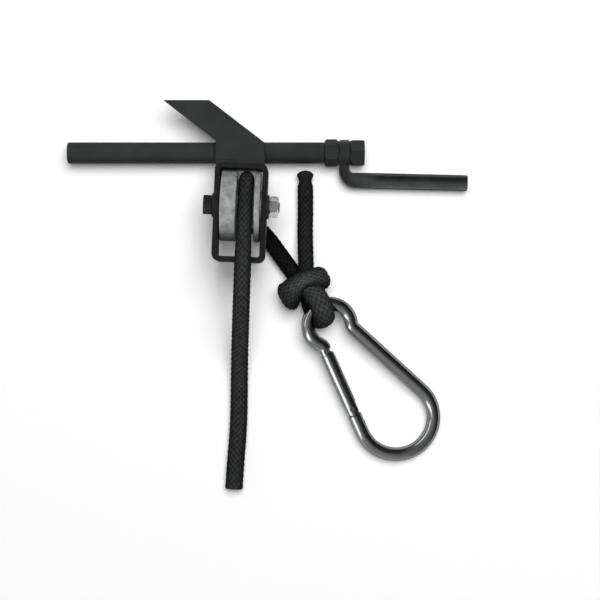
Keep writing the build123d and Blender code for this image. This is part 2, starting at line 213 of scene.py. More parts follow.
haul_start, lift_start = on_sheave([HAUL_ANGLE, WRAP_ANGLE])
print("the rope leaves the sheave at", haul_start.round(4), "and", lift_start.round(4))

# %% [markdown]
# ## Smooth lines
# Away from the sheave the rope is free. A NURBS spline with a few control points bends like rope: it
# rounds every corner by itself. Blender gives the spline's points when the curve is turned into a
# mesh without a bevel, and numpy spaces them evenly, so that the braid comes out even too.

# %% A spline as evenly spaced points
ROPE_STEP = 0.42 * MM
SPLINE_STEPS = 48  # points that Blender works out between two control points


def even_steps(line):
    """The line again with points about a step apart, and each point's distance from the start."""
    along = np.concatenate([[0.0], np.cumsum(np.linalg.norm(np.diff(line, axis=0), axis=1))])
    at = np.linspace(0.0, along[-1], math.ceil(along[-1] / ROPE_STEP) + 1)
    return np.stack([np.interp(at, along, line[:, k]) for k in range(3)], axis=1), at


def spline_line(route):
    """Points of the NURBS spline of order 3 whose control points are the route."""
    curve = bpy.data.curves.new("route", "CURVE")
    curve.dimensions = "3D"
    curve.resolution_u = SPLINE_STEPS
    spline = curve.splines.new("NURBS")
    spline.points.add(len(route) - 1)
    weights = np.ones((len(route), 1))
    spline.points.foreach_set("co", np.hstack([route, weights]).ravel())
    spline.order_u = 3
    spline.use_endpoint_u = True
    carrier = bpy.data.objects.new("route", curve)
    mesh = bpy.data.meshes.new_from_object(carrier)
    line = np.zeros(len(mesh.vertices) * 3)
    mesh.vertices.foreach_get("co", line)
    bpy.data.meshes.remove(mesh)
    bpy.data.curves.remove(curve)
    return even_steps(line.reshape(-1, 3))


print("rows of points in 10 mm of rope:", math.ceil(10 * MM / ROPE_STEP))

# %% [markdown]
# ## Routes of the free runs
# The haul line leaves the sheave's front, passes over the bracket's end and slopes down to the
# table. The lift line leaves the sheave's back, reaches the table at once and climbs into the knot.
# The tail comes out of the knot and lies on the table. The first points follow from the sheave, and
# the others are listed along the rope in the photograph.

# %% Haul, lift and tail
HAUL_LEAD = 21.5 * MM
TABLE_Z = cad_box[0].z
ROPE_ON_TABLE = TABLE_Z + ROPE_R
TAIL_CAP_R = 5.15 * MM
TAIL_CAP_SEAT = 0.93  # height of the flattened cap's middle, in cap radii

haul_route = [
    haul_start,
    on_sheave(HAUL_ANGLE, -HAUL_LEAD)[0],
    (0.1058, -0.0765, 0.0394),
    (0.1048, -0.0948, 0.0285),
    (0.1036, -0.1127, 0.0108),
    (0.1028, -0.1310, -0.0012),
    (0.1026, -0.1502, ROPE_ON_TABLE),
    (0.1020, -0.1683, ROPE_ON_TABLE),
    (0.1004, -0.1859, ROPE_ON_TABLE),
    (0.0994, -0.2020, ROPE_ON_TABLE),
]
lift_lead = (lift_start[2] - ROPE_ON_TABLE) / math.sin(math.radians(WRAP_ANGLE))
lift_route = [
    lift_start,
    on_sheave(WRAP_ANGLE, lift_lead)[0],
    (0.1194, -0.0499, ROPE_ON_TABLE),
    (0.1303, -0.0654, ROPE_ON_TABLE),
    (0.1370, -0.0744, -0.0015),
]
tail_route = [
    (0.1429, -0.0740, 0.0058),
    (0.1426, -0.0620, 0.0000),
    (0.1422, -0.0460, ROPE_ON_TABLE),
    (0.1426, -0.0300, ROPE_ON_TABLE),
    (0.1423, -0.0102, TABLE_Z + TAIL_CAP_SEAT * TAIL_CAP_R),
]
haul_line, haul_at = spline_line(haul_route)
lift_line, lift_at = spline_line(lift_route)
tail_line, tail_at = spline_line(tail_route)
print("rope runs in mm:", [round(at[-1] / MM, 1) for at in (haul_at, lift_at, tail_at)])

# %% [markdown]
# ## The braid
# The rope is a tubular braid: ten strands wind one way and ten the other, each passing over one and
# under the next. A bump map alone would leave the outline smooth, so the braid is in the mesh. Two
# slanted coordinates count the strands of each family, and the higher strand wins at each point.

# %% Height of the braid
STRANDS = 10
STRAND_PITCH = 3.4 * MM
STRAND_ARCH = 0.9  # power of the strand's arch: a smaller one is flatter on top
STRAND_MEAN, STRAND_SWING = 0.62, 0.38  # a strand's mean height, and how far it swings over and under


def braid(angle, along, strands):
    """Height of a plain braid from 0 to 1, and the place across the strand on top from 0 to 1.

    The strand coordinates are a = n angle / 2 pi + along / pitch and b = n angle / 2 pi - along / pitch.
    A strand's section is an arch, sin(pi frac) to a power, and its height swings as a cosine with the count
    of strands that it has crossed, so that neighbours alternate.
    """
    turn = strands * angle / (2 * np.pi)
    a, b = turn + along / STRAND_PITCH, turn - along / STRAND_PITCH
    strand_a, strand_b = np.floor(a), np.floor(b)
    across_a, across_b = a - strand_a, b - strand_b
    swing_a = np.cos(np.pi * (b - 0.5 + strand_a))
    swing_b = -np.cos(np.pi * (a - 0.5 + strand_b))
    high_a = np.sin(np.pi * across_a) ** STRAND_ARCH * (STRAND_MEAN + STRAND_SWING * swing_a)
    high_b = np.sin(np.pi * across_b) ** STRAND_ARCH * (STRAND_MEAN + STRAND_SWING * swing_b)
    return np.maximum(high_a, high_b), np.where(high_a > high_b, across_a, across_b)


print("a strand has", round(np.pi * ROPE_D / STRANDS / MM, 1), "mm of the rope's round")

# %% [markdown]
# ## The rope's surface
# A rope is the braid carried along a line. Its section is an ellipse, because rope under load or on
# a table is never quite round, and the gaps of the braid are sunk into it. Flanks are painted darker
# than the top, as shade. The same function makes the runs, the knot's turn, which is a ring, and the loop.

# %% Braided tube
BRAID_DEPTH = 0.36 * MM
COLUMNS_PER_STRAND = 8
VALLEY_SLOPE = 4.0
# Colour factors round the rope: painted lighter on top and darker on the flanks, as light and shade.
TOP_LIGHT, FLANK_SHADE, FLANK_POWER = 1.2, 0.9, 2.5


def unit(v):
    """The same directions with length 1."""
    return v / np.linalg.norm(v, axis=-1, keepdims=True)


def directions(line, side_hint, ring):
    """Side and up at each point: side is the hint less its share along the line, up is square to both."""
    if ring:
        along = unit(np.roll(line, -1, axis=0) - np.roll(line, 1, axis=0))
    else:
        along = unit(np.gradient(line, axis=0))
    side = unit(side_hint - (along @ side_hint)[:, None] * along)
    return side, np.cross(along, side)


def round_angles(strands):
    """The angles of the columns round a rope of so many strands."""
    return np.linspace(0.0, 2 * np.pi, COLUMNS_PER_STRAND * strands, endpoint=False)


def rope(
    name, line, at, side_hint, size, wear_and_shading,
    counted=(0.0, 1.0), fade=0.0, strands=STRANDS, valley=0.0, ring=False,
):
    """A braided tube: line + side w cos(angle) + up h sin(angle), less the depth of the braid.

    size holds w and h, as numbers or one value per row. counted gives where the braid's count starts
    and whether it runs forwards or backwards, and fade, from 0 to 1, melts the braid away. A valley
    lowers h by that share, times exp(-(slope cos(angle))^2), along the middle of the flat side. Flanks
    are painted darker than the top as shade: the value of wear and painted shading is times
    top - shade |cos(angle)|^power.
    """
    side, up = directions(line, side_hint, ring)
    angle = round_angles(strands)
    half_width, half_height, fade = (np.broadcast_to(v, len(line))[:, None] for v in (*size, fade))
    height, across = braid(angle[None, :], counted[0] + counted[1] * at[:, None], strands)
    sunk = BRAID_DEPTH * (1.0 - height) * (1.0 - fade)
    dip = 1.0 - valley * np.exp(-((VALLEY_SLOPE * np.cos(angle)) ** 2))
    w = (half_width - sunk * np.minimum(1.0, half_width / ROPE_R)) * np.cos(angle)
    h = (half_height - sunk * np.minimum(1.0, half_height / ROPE_R)) * np.sin(angle) * dip
    grid = line[:, None] + side[:, None] * w[..., None] + up[:, None] * h[..., None]
    flank_shading = TOP_LIGHT - FLANK_SHADE * np.abs(np.cos(angle)) ** FLANK_POWER
    # The third value holds wear together with painted shade and painted highlights in the rope's colour.
    values = {
        "braid_height": height + (1.0 - height) * fade,
        "across_strand": across,
        "wear_and_shading": np.broadcast_to(wear_and_shading, height.shape) * flank_shading,
    }
    return surface(name, grid, values, ring)


def lay_rope(piece, node):
    """The rope piece rides on the arm and stands for its CAD tube."""
    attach(piece, "arm")
    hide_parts(node)
    return piece


print("points round a run of rope:", len(round_angles(STRANDS)))

# %% [markdown]
# ## Ends of the rope
# The haul end was cut square, which leaves its rim a little rounded. The tail's end was melted
# against fraying: the yarns draw in to a neck and run together in a smooth cap. Both are sections
# that change over the last rows, so no separate end pieces are needed.

# %% Half widths near the ends
CUT_ROUND = 0.7 * MM
CUT_DRAW_IN = 0.16
TAIL_NECK_R = 3.8 * MM
NECK_AT, NECK_SPREAD = 6.2 * MM, 2.2 * MM
CAP_AT, CAP_SPREAD = 3.0 * MM, 1.5 * MM
CAP_LENGTH = 3.1 * MM
CAP_CLOSED = 0.999  # the cap's last ring keeps a little width, for its fan


def blend_in(at, start, end):
    """A share from 0 to 1 that rises smoothly between two places: 3 t^2 - 2 t^3."""
    t = np.clip((at - start) / (end - start), 0.0, 1.0)
    return t * t * (3.0 - 2.0 * t)


def cut_square(at):
    """Shares of the section near a square cut: a quarter of an ellipse over the cut's rounding."""
    left = np.clip((at[-1] - at) / CUT_ROUND, 0.0, 1.0)
    return 1.0 - CUT_DRAW_IN * (1.0 - np.sqrt(1.0 - (1.0 - left) ** 2))


def melted(at, plain):
    """Half widths that draw in to a neck, swell to the melted cap and close over it as an ellipse.

    With d the distance to the end they are plain - (plain - neck) e^-((d - neck at) / spread)^2
    + (cap - plain) e^-((d - cap at) / spread)^2.
    """
    to_end = at[-1] - at
    necked = plain - (plain - TAIL_NECK_R) * np.exp(-(((to_end - NECK_AT) / NECK_SPREAD) ** 2))
    swell = necked + (TAIL_CAP_R - plain) * np.exp(-(((to_end - CAP_AT) / CAP_SPREAD) ** 2))
    over = np.clip(1.0 - to_end / CAP_LENGTH, 0.0, CAP_CLOSED)
    return swell * np.sqrt(1.0 - over**2)


print("the cut leaves", round(1.0 - CUT_DRAW_IN, 2), "of the haul run's width")

# %% [markdown]
# ## Haul run and wrap
# The rope is drawn narrow over the sheave and flattens on the table, so its half width grows along
# the haul run. Its colour is lighter where it slopes down: a bell curve along the run says how much.
# The stretch on the sheave keeps the groove's shape, a little taller.

# %% Haul run and the stretch on the sheave
ROPE_HALF_HEIGHT = 4.2 * MM
HAUL_PLACES = np.array([0.0, 20.0, 35.0, 70.0, 185.0]) * MM
HAUL_HALF_WIDTHS = np.array([4.4, 4.65, 5.0, 5.15, 5.4]) * MM
HAUL_WORN, HAUL_LIGHTER = 0.98, 0.82
LIGHTER_AT, LIGHTER_SPREAD = 78 * MM, 34 * MM
WRAP_HALF_WIDTH = 4.4 * MM
WRAP_HALF_HEIGHT = 4.7 * MM
WRAP_WORN = 0.9
WRAP_POINTS = 90

haul_cut = cut_square(haul_at)
haul_width = np.interp(haul_at, HAUL_PLACES, HAUL_HALF_WIDTHS)
haul_size = (haul_width * haul_cut, ROPE_HALF_HEIGHT * haul_cut)
# A bell curve lightens the haul run's colour where it slopes down.
haul_tone = HAUL_WORN + HAUL_LIGHTER * np.exp(-(((haul_at - LIGHTER_AT) / LIGHTER_SPREAD) ** 2))
haul = rope("haul_run", haul_line, haul_at, axle_dir, haul_size, haul_tone[:, None], counted=(0.0, -1.0))
lay_rope(haul, "haul_rope")

wrap_line, wrap_at = even_steps(on_sheave(np.linspace(HAUL_ANGLE, WRAP_ANGLE, WRAP_POINTS)))
wrap_size = (WRAP_HALF_WIDTH, WRAP_HALF_HEIGHT)
wrap = rope("sheave_wrap", wrap_line, wrap_at, axle_dir, wrap_size, WRAP_WORN)
lay_rope(wrap, "rope_over_sheave")
print("haul run", len(haul.data.polygons), "faces, wrap", round(wrap_at[-1] / MM, 1), "mm long")

# %% [markdown]
# ## Lift run and tail
# The lift run goes on from the stretch on the sheave, so its braid is counted on from there. It lies
# in the bracket's shade, where its colour is painted darker as shade, and it grows wider. The tail is
# clean and dark, and its braid melts away towards the cap.

# %% Lift run and tail
LIFT_HALF_WIDTH = 5.1 * MM
# The lift run's colour factors: painted darker towards the table, as the bracket's shade.
LIFT_SHADING = (0.7, 0.25)  # at the sheave, and on the table
LIFT_SPREADS_OVER = 20 * MM
TAIL_HALF_WIDTH = 4.8 * MM
TAIL_FLATNESS = 0.92
TAIL_WORN = 0.62
MELT_FROM, MELT_FULL = 7 * MM, 4 * MM  # from the tail's end


def from_to(first, last, share):
    """A value that goes from the first to the last with a share from 0 to 1."""
    return first + (last - first) * share


lift_spread = blend_in(lift_at, 0.0, LIFT_SPREADS_OVER)
lift_size = (from_to(WRAP_HALF_WIDTH, LIFT_HALF_WIDTH, lift_spread), ROPE_HALF_HEIGHT)
# Painted shade: the lift run's colour darkens over its first stretch.
lift_shading = from_to(*LIFT_SHADING, lift_spread)[:, None]
lift = rope("lift_run", lift_line, lift_at, axle_dir, lift_size, lift_shading, counted=(wrap_at[-1], 1.0))
lay_rope(lift, "lift_rope")

tail_fade = blend_in(tail_at, tail_at[-1] - MELT_FROM, tail_at[-1] - MELT_FULL)
tail_width = melted(tail_at, TAIL_HALF_WIDTH)
tail_size = (tail_width, tail_width * TAIL_FLATNESS)
tail = rope("tail_end", tail_line, tail_at, axle_dir, tail_size, TAIL_WORN, fade=tail_fade)
lay_rope(tail, "rope_tail")
print("lift run", len(lift.data.polygons), "faces, tail", len(tail.data.polygons), "faces")

# %% [markdown]
# ## Free cords
# The three runs are free rope, and their lengths and far ends are printed below. The photograph shows
# the rope from end to end, and its length is what can be seen there. Wrap, knot and loop are held in
# shape by what they lie on, so they are plain pieces.

runs = (
    (haul, haul_line, haul_at, "bare"),
    (lift, lift_line, lift_at, "knot"),
    (tail, tail_line, tail_at, "bare"),
)
for piece, line, at, far_end in runs:
    print(piece.name, round(at[-1] / MM, 1), "mm, far end", far_end)

# %% [markdown]
# ## Knot
# The rope is doubled and tied: two strands pressed side by side make one fat turn round the others.
# From above the turn is a saddle, narrow where it crosses and wide at its two lobes, of which the
# left one is fuller. Its line is an ellipse stood on edge, pushed back by a square of the sine, and a
# shallow valley parts the two strands. The crossing's top is painted lighter, as a highlight.

# %% The knot's turn
KNOT_MIDDLE = np.array([0.1419, -0.0805, TABLE_Z + 0.0123])
KNOT_HEADING = math.radians(29.0)
KNOT_HALF_LENGTH = 11.0 * MM
KNOT_HALF_HEIGHT = 7.2 * MM
KNOT_BOW = 4.2 * MM
KNOT_LOBE_HALF_WIDTH = 8.2 * MM
KNOT_UNLIKE = 0.9 * MM  # the left lobe is this much fuller, the right lobe this much slimmer
KNOT_WAIST = 2.9 * MM
KNOT_HALF_THICKNESS = (4.5 * MM, 5.7 * MM)  # at the crossing, and at the lobes
KNOT_STRANDS = 16
KNOT_ROWS = 260
KNOT_VALLEY = 0.08
# The knot's wear, then a painted highlight on the crossing's top and the angle that it faces.
KNOT_WORN, KNOT_HIGHLIGHT, KNOT_HIGHLIGHT_ANGLE = 1.2, 1.3, math.radians(60.0)
knot_across = np.array([math.cos(KNOT_HEADING), math.sin(KNOT_HEADING), 0.0])
knot_front = np.cross(knot_across, up_z)


def whole_pitches(line):
    """Distances along a closed line, stretched to whole double pitches so that the braid closes."""
    steps = np.linalg.norm(np.roll(line, -1, axis=0) - line, axis=1)
    around = np.concatenate([[0.0], np.cumsum(steps)])
    pitches = 2 * STRAND_PITCH * round(around[-1] / (2 * STRAND_PITCH))
    return around[:-1] * pitches / around[-1]


def knot_turn(name):
    """The doubled turn: y = A cos t, z = B sin t, x = -bow sin^2 t, and its half width.

    x points to the hook, y across it and z up. The half width is lobe - unlike cos t - waist sin^2 t.
    Its colour gets a painted highlight of sin^4 t on top, times cos^2 of the angle from the lit side.
    """
    t = np.linspace(0.0, 2 * np.pi, KNOT_ROWS, endpoint=False)
    crossing = np.sin(t) ** 2
    x, y, z = -KNOT_BOW * crossing, KNOT_HALF_LENGTH * np.cos(t), KNOT_HALF_HEIGHT * np.sin(t)
    line = KNOT_MIDDLE + x[:, None] * knot_front + y[:, None] * knot_across + z[:, None] * up_z
    half_width = KNOT_LOBE_HALF_WIDTH - KNOT_UNLIKE * np.cos(t) - KNOT_WAIST * crossing
    size = (half_width, from_to(*KNOT_HALF_THICKNESS, 1.0 - crossing))
    on_top = np.clip(np.sin(t), 0.0, 1.0)[:, None] ** 4
    facing = np.clip(np.cos(round_angles(KNOT_STRANDS) - KNOT_HIGHLIGHT_ANGLE), 0.0, 1.0) ** 2
    wear_and_shading = KNOT_WORN + KNOT_HIGHLIGHT * on_top * facing
    at = whole_pitches(line)
    return rope(name, line, at, knot_front, size, wear_and_shading, strands=KNOT_STRANDS, valley=KNOT_VALLEY, ring=True)


knot = lay_rope(knot_turn("knot_turns"), "rope_knot")
print("knot", len(knot.data.polygons), "faces")

# %% [markdown]
# ## Loop
# The loop below the knot holds the hook's wire: it comes straight out of the knot, goes round the
# wire and back. It stands nearly upright, but leans and is turned a little from the hook's own
# direction, as the photograph shows. A circle arc with two straight leads makes its line. The strand
# that goes back lies underneath, and its colour is painted darker there, as shade.

# %% The loop on the hook
LOOP_HEADING = math.radians(-67.0)
LOOP_LEAN = math.radians(14.0)
LOOP_SHIFT = 0.4 * MM
LOOP_R = 8.8 * MM
LOOP_PINCH = math.radians(36.0)
LOOP_LEAD = 10.0 * MM
LOOP_SIZE = (6.9 * MM, 4.3 * MM)
LOOP_STRANDS = 12
# Colour factors: the strand that goes back underneath is painted darker, as shade.
LOOP_SHADING = (1.6, 0.4)  # on the way to the hook, and on the way back
LOOP_SHADE = (0.45, 0.75)  # shares of the loop's length between which it goes from one to the other
ARC_POINTS, LEAD_POINTS = 120, 30

hook_eye = np.array(joints["hook_swing"]["pos_m"])
loop_along = np.array([math.cos(LOOP_HEADING), math.sin(LOOP_HEADING), 0.0])
loop_level = np.cross(up_z, loop_along)
loop_side = math.cos(LOOP_LEAN) * loop_level - math.sin(LOOP_LEAN) * up_z
loop_up = math.cos(LOOP_LEAN) * up_z + math.sin(LOOP_LEAN) * loop_level
loop_middle = hook_eye + LOOP_SHIFT * loop_level


def loop_line():
    """The loop's middle line: half a circle and a pinch more at each end, with two straight leads."""
    t = np.linspace(np.pi / 2 + LOOP_PINCH, -np.pi / 2 - LOOP_PINCH, ARC_POINTS)
    arc = LOOP_R * np.stack([np.cos(t), np.sin(t)], axis=1)
    lead = LOOP_LEAD * np.array([math.cos(LOOP_PINCH), math.sin(LOOP_PINCH)])
    share = np.linspace(1.0, 0.0, LEAD_POINTS, endpoint=False)[:, None]
    into = arc[0] - share * lead
    out = arc[-1] - share[::-1] * lead * (1, -1)
    flat = np.vstack([into, arc, out])
    return even_steps(loop_middle + flat[:, :1] * loop_along + flat[:, 1:] * loop_up)


loop_path, loop_at = loop_line()
loop_shading = from_to(*LOOP_SHADING, blend_in(loop_at / loop_at[-1], *LOOP_SHADE))[:, None]
loop = rope("loop_on_hook", loop_path, loop_at, loop_side, LOOP_SIZE, loop_shading, strands=LOOP_STRANDS)
lay_rope(loop, "hook_loop")
print("loop", round(loop_at[-1] / MM, 1), "mm long,", len(loop.data.polygons), "faces")

# %% [markdown]
# ## Weld beads
# The plate is welded to the arm and to the bracket. A weld freezes as a row of overlapping puddles,
# so its face bulges and carries crescent ripples. Each bead is a grid: along the seam, and across
# the face from the tip of one leg to the tip of the other, closed by the corner that it fills.

# %% A rippled bead
WELD_BULGE = 0.25 * MM
RIPPLE = 1.5 * MM
RIPPLE_BEND = 0.9
BEAD_STEP = 0.15 * RIPPLE
FACE_POINTS = 13


def weld_bead(name, start, end, leg_a, leg_b):
    """A fillet weld from start to end whose face goes from the tip of leg a to the tip of leg b.

    With t from 0 to 1 across the face, a point is corner + (1-t) a + t b, pushed out along the sum of
    the legs by bulge 4t(1-t)(1 + s). The ripple s is the square of the part after the point of
    along / ripple + bend (2t-1)^2, so each ripple is a crescent.
    """
    length = np.linalg.norm(end - start)
    along = np.linspace(0.0, length, math.ceil(length / BEAD_STEP))[:, None]
    t = np.linspace(0.0, 1.0, FACE_POINTS)[None, :]
    out = unit(leg_a + leg_b)
    ripple = ((along / RIPPLE + RIPPLE_BEND * (2 * t - 1) ** 2) % 1.0) ** 2
    push = WELD_BULGE * 4 * t * (1 - t) * (1.0 + ripple)
    corner = start + along * (end - start) / length
    chord = (1 - t)[..., None] * leg_a + t[..., None] * leg_b
    face = corner[:, None] + chord + push[..., None] * out
    return surface(name, np.concatenate([face, corner[:, None]], axis=1))


print("ripples in 10 mm of weld:", round(10 * MM / RIPPLE, 1))

# %% [markdown]
# ## Beads on their seams
# Two beads run where the plate meets the bracket's top, one before and one behind, and two fill the
# gaps between the flat plate and the round arm. Their places follow from the axle, the arm's radius
# and the stock that the bracket and plate are made of. Together they are one piece.

# %% Four beads as one piece
WELD_FROM_X, WELD_TO_X = 0.0901, 0.1173
WELD_LEG = 3.2 * MM
WELD_NEAR, WELD_FAR = 1.5 * MM, 5.0 * MM  # how far from the arm's top its two beads start and end
ARM_R = 6.35 * MM
PLATE_TOP = 12.7 * MM
BRACKET_X = 0.1054
AXLE_DROP = 24.575 * MM  # from the bracket's top to the axle
STRAP_WIDTH = 25.4 * MM


def bracket_corner(x, z):
    """A point on the line where plate and bracket meet, at a distance along the arm and a height."""
    place = axle + AXLE_DROP * bracket_up + (x - BRACKET_X) * axle_dir
    return np.array([place[0], place[1], z])


def join_pieces(name, pieces):
    """Several meshes as one piece of that name: their points and faces side by side."""
    with bpy.context.temp_override(active_object=pieces[0], selected_editable_objects=pieces):
        bpy.ops.object.join()
    pieces[0].name = name
    pieces[0].data.name = name
    return pieces[0]


strap_back = axle[2] - STRAP_WIDTH / 2
back_leg = strap_back - ARM_R
front_ends = [bracket_corner(x, PLATE_TOP) for x in (WELD_FROM_X, WELD_TO_X)]
back_ends = [bracket_corner(x, strap_back) for x in (WELD_FROM_X, WELD_TO_X)]
beads = [
    weld_bead("bead_front", *front_ends, WELD_LEG * bracket_up, WELD_LEG * up_z),
    weld_bead("bead_back", *back_ends, -back_leg * bracket_up, -back_leg * up_z),
]
arm_falls = ARM_R - math.sqrt(ARM_R**2 - WELD_FAR**2)
for side, order in (("left", 1), ("right", -1)):
    ends = [np.array([x, order * WELD_NEAR, ARM_R]) for x in (WELD_FROM_X, WELD_TO_X)]
    under_plate = np.array([0.0, order * (WELD_FAR - WELD_NEAR), 0.0])
    legs = [under_plate, under_plate - arm_falls * up_z]
    beads.append(weld_bead("bead_" + side, *ends, *legs[::-order]))
welds = join_pieces("weld_ripples", beads)
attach(welds, "arm")
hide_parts("weld_beads")
print("weld beads", len(welds.data.polygons), "faces")

# %% [markdown]
# ## Gate spring
# A small coil spring inside the gate presses a plunger on the hook's tongue. It is wound from round
# wire, so its surface is a circle carried along a helix. Its axis runs from the gate's pivot through
# the middle of the CAD sleeve that it stands for.

# %% Coil in the gate
SPRING_LENGTH = 16.0 * MM
SPRING_R = 1.9 * MM
SPRING_TURNS = 13
WIRE_R = 0.3 * MM
TURN_POINTS, WIRE_POINTS = 24, 10
gate_pivot = np.array(joints["gate_open"]["pos_m"])
gate_axis = np.array(joints["gate_open"]["axis"])


def coil(name, middle, axis):
    """A helix about an axis, with the wire's circle round it.

    A point of the line is middle + s axis + R (cos a, sin a), and the wire's circle lies in the
    directions of that radius and of travel times radius.
    """
    turn = np.linspace(0.0, 2 * np.pi * SPRING_TURNS, TURN_POINTS * SPRING_TURNS)[:, None]
    along = np.linspace(-0.5, 0.5, len(turn))[:, None] * (SPRING_LENGTH - 2 * WIRE_R)
    across = np.cross(axis, gate_axis)
    radius = np.cos(turn) * gate_axis + np.sin(turn) * across
    line = middle + along * axis + SPRING_R * radius
    travel = unit(np.gradient(line, axis=0))
    angle = np.linspace(0.0, 2 * np.pi, WIRE_POINTS, endpoint=False)[:, None]
    sideways = np.cross(travel, radius)
    circle = np.cos(angle) * radius[:, None] + np.sin(angle) * sideways[:, None]
    return surface(name, line[:, None] + WIRE_R * circle)


spring_middle = np.array(sum(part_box("gate_spring"), Vector()) / 2)
spring = coil("gate_coil", spring_middle, unit(spring_middle - gate_pivot))
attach(spring, "gate")
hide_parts("gate_spring")
print("spring", SPRING_TURNS, "turns", len(spring.data.polygons), "faces")

# %% [markdown]
# ## Nodes
# Now the finishes. A material is a tree of nodes, and a few small helpers keep such trees readable.
# They add a node and give it its inputs, make a colour ramp, spread a value over a range, multiply
# two colours and turn a height into relief.

# %% Node helpers
NOISE_LOW, NOISE_HIGH = 0.3, 0.7  # noise seldom leaves this range
WHITE = (1.0, 1.0, 1.0)


def give(node, inputs):
    """Gives a node its inputs by label: a socket is linked, and any other value is set."""
    for label, value in inputs.items():
        if isinstance(value, bpy.types.NodeSocket):
            node.id_data.links.new(value, node.inputs[label])
        else:
            node.inputs[label].default_value = value


def add(tree, kind, inputs=None, **settings):
    """A new node of that kind with its settings and its inputs."""
    node = tree.nodes.new(kind)
    for label, value in settings.items():
        setattr(node, label, value)
    give(node, inputs or {})
    return node


def ramp(tree, factor, stops):
    """A colour ramp through (place, colour) stops, fed by a factor socket."""
    node = add(tree, "ShaderNodeValToRGB", {"Fac": factor})
    band = node.color_ramp
    for place, _ in stops[1:-1]:
        band.elements.new(place)
    for element, (place, colour) in zip(band.elements, stops):
        element.position = place
        element.color = (*colour, 1.0)
    return node.outputs["Color"]


def span(tree, factor, low, high, start=NOISE_LOW, end=NOISE_HIGH):
    """The factor between start and end, spread from low to high."""
    limits = {"From Min": start, "From Max": end, "To Min": low, "To Max": high}
    return add(tree, "ShaderNodeMapRange", {"Value": factor, **limits}).outputs["Result"]


def times(tree, first, second):
    """Two colours multiplied."""
    inputs = {"Factor": 1.0, "A": first, "B": second}
    return add(tree, "ShaderNodeMix", inputs, data_type="RGBA", blend_type="MULTIPLY").outputs["Result"]


def bump(tree, height, distance, strength):
    """The normal of small relief from a height socket."""
    inputs = {"Height": height, "Distance": distance, "Strength": strength}
    return add(tree, "ShaderNodeBump", inputs).outputs["Normal"]


print("noise is spread from", NOISE_LOW, "to", NOISE_HIGH)

# %% [markdown]
# ## Shared noise
# Most finishes need the same two effects: broad patches with fine grain, and fine lines. Each is a
# node group with named sockets, built once and placed with other values in each finish. Both read
# Object coordinates, so a pattern stays on its piece when the piece moves.

# %% Grain and streaks


def new_group(name, inputs, outputs):
    """A shader group with those sockets, its entry, its exit and its Object coordinates."""
    group = bpy.data.node_groups.new(name, "ShaderNodeTree")
    for label, kind in inputs.items():
        group.interface.new_socket(label, in_out="INPUT", socket_type=kind)
    for label in outputs:
        group.interface.new_socket(label, in_out="OUTPUT", socket_type="NodeSocketFloat")
    place = add(group, "ShaderNodeTexCoord").outputs["Object"]
    return group, add(group, "NodeGroupInput"), add(group, "NodeGroupOutput"), place


def grain_group():
    """Broad and fine noise on Object coordinates, each from 0 to 1."""
    scales = {"Broad Scale": "NodeSocketFloat", "Fine Scale": "NodeSocketFloat"}
    group, entry, leave, place = new_group("grain", scales, ("Broad", "Fine"))
    for label, detail in (("Broad", 4.0), ("Fine", 3.0)):
        scale = entry.outputs[label + " Scale"]
        inputs = {"Vector": place, "Scale": scale, "Detail": detail, "Roughness": 0.6}
        give(leave, {label: add(group, "ShaderNodeTexNoise", inputs).outputs["Fac"]})
    return group


def streak_group():
    """Fine lines: noise stretched along one axis of the turned Object coordinates, from 0 to 1."""
    shape = {"Turn": "NodeSocketVector", "Stretch": "NodeSocketVector", "Scale": "NodeSocketFloat"}
    group, entry, leave, place = new_group("streaks", shape, ("Line",))
    turn, stretch, scale = (entry.outputs[label] for label in shape)
    turns = {"Vector": place, "Rotation": turn}
    turned = add(group, "ShaderNodeVectorRotate", turns, rotation_type="EULER_XYZ").outputs["Vector"]
    factors = {0: turned, 1: stretch}
    stretched = add(group, "ShaderNodeVectorMath", factors, operation="MULTIPLY").outputs["Vector"]
    inputs = {"Vector": stretched, "Scale": scale, "Detail": 4.0, "Roughness": 0.65}
    give(leave, {"Line": add(group, "ShaderNodeTexNoise", inputs).outputs["Fac"]})
    return group


def spaced(values):
    """Values given as keywords, by their sockets' labels: with spaces instead of underlines."""
    return {label.replace("_", " "): value for label, value in values.items()}


def place_group(tree, group, **values):
    """A copy of a shared group with its input values."""
    return add(tree, "ShaderNodeGroup", spaced(values), node_tree=group)


grain, streaks = grain_group(), streak_group()
print("groups", grain.name, "and", streaks.name)

# %% [markdown]
# ## Paint
# The arm, brace, nuts and bracket are sprayed black. Paint is a dark colour under a weak gloss: the
# broad noise makes thin and thick patches, the fine noise is the orange peel that spraying leaves.
# The bracket is duller and deeper black than the arm, and the bolt's black oxide has finer patches.

# %% Paint and oxide
PEEL_STRENGTH = 0.5
finishes = {}


def new_finish(name, **plain):
    """A material, kept in finishes, whose Principled shader has its plain sockets set."""
    finishes[name] = bpy.data.materials.new(name)
    finishes[name].use_nodes = True
    tree = finishes[name].node_tree
    shader = tree.nodes["Principled BSDF"]
    give(shader, spaced(plain))
    return tree, shader


def patches(tree, noise, dark, light):
    """Colours that go from the dark to the light tone with the broad noise."""
    return ramp(tree, noise.outputs["Broad"], [(NOISE_LOW, dark), (NOISE_HIGH, light)])


def painted(name, dark, light, rough, gloss, scales, peel):
    """Black paint or oxide: colour in patches between two tones, fine relief that breaks the gloss."""
    tree, shader = new_finish(name, Specular_IOR_Level=gloss)
    noise = place_group(tree, grain, Broad_Scale=scales[0], Fine_Scale=scales[1])
    fine = noise.outputs["Fine"]
    looks = {
        "Base Color": patches(tree, noise, dark, light),
        "Roughness": span(tree, fine, *rough),
        "Normal": bump(tree, fine, peel, PEEL_STRENGTH),
    }
    give(shader, looks)


